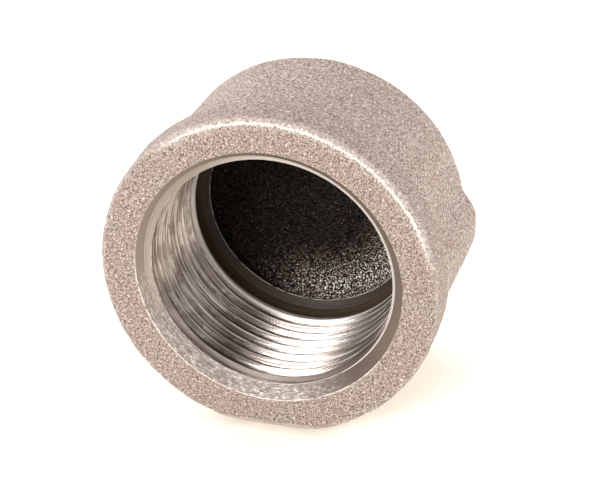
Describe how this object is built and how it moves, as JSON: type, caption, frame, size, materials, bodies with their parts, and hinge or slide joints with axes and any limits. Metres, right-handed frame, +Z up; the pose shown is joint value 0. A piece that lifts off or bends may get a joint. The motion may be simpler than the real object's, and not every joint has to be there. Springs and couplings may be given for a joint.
{
  "type": "pipe cap",
  "caption": "Round cast-iron pipe cap with a banded mouth, side lugs and an internal taper pipe thread.",
  "frame": {"origin": "centre of the mouth face, on the cap's axis", "axes": "+Y along the cap's axis from the mouth into the cap, +Z up with the cap lying on its side, +X towards the cap's right as seen from the mouth"},
  "size_m": [0.0532, 0.0332, 0.053],
  "materials": {
    "cast_iron": "rough sand-cast skin with a warm grey-brown tint, bright machined thread"
  },
  "bodies": {
    "root": {"cap_body": "cast_iron"}
  },
  "joints": []
}
